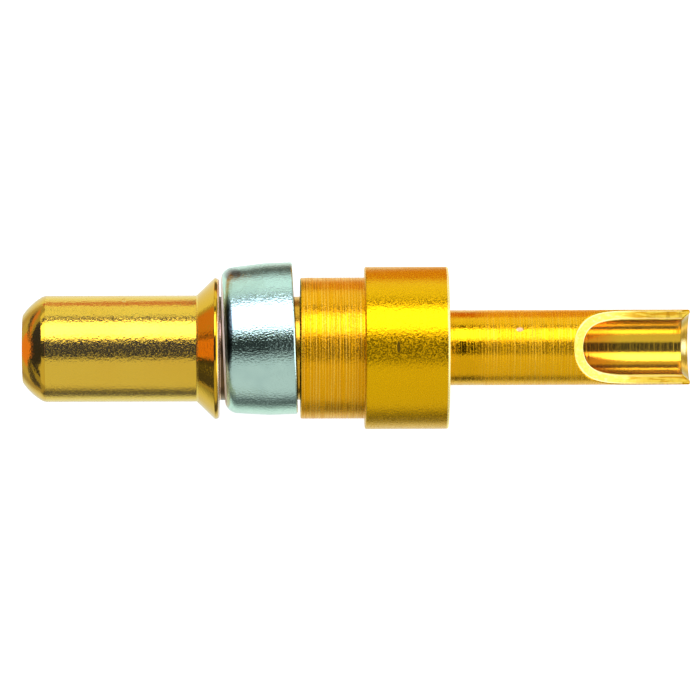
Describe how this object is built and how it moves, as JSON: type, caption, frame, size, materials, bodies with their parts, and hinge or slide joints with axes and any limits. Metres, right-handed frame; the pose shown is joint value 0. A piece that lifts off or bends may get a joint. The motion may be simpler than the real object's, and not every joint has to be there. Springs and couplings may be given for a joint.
{
  "type": "solder cup pin contact",
  "caption": "Turned gold-plated power pin contact with a domed nose, a split steel retaining clip loose on its neck, a flange and a scooped solder cup.",
  "frame": {"origin": "on the contact's axis, at the front face of the flange", "axes": "X along the contact's axis, with the mating pin towards -X and the solder cup at +X; +Z out of the open side of the cup"},
  "size_m": [0.0226, 0.0056, 0.0054],
  "materials": {
    "gold_plating": "bright gold plating over turned brass",
    "spring_steel": "bright rolled spring steel"
  },
  "bodies": {
    "root": {"contact_body": "gold_plating", "retaining_clip": "spring_steel"}
  },
  "joints": []
}
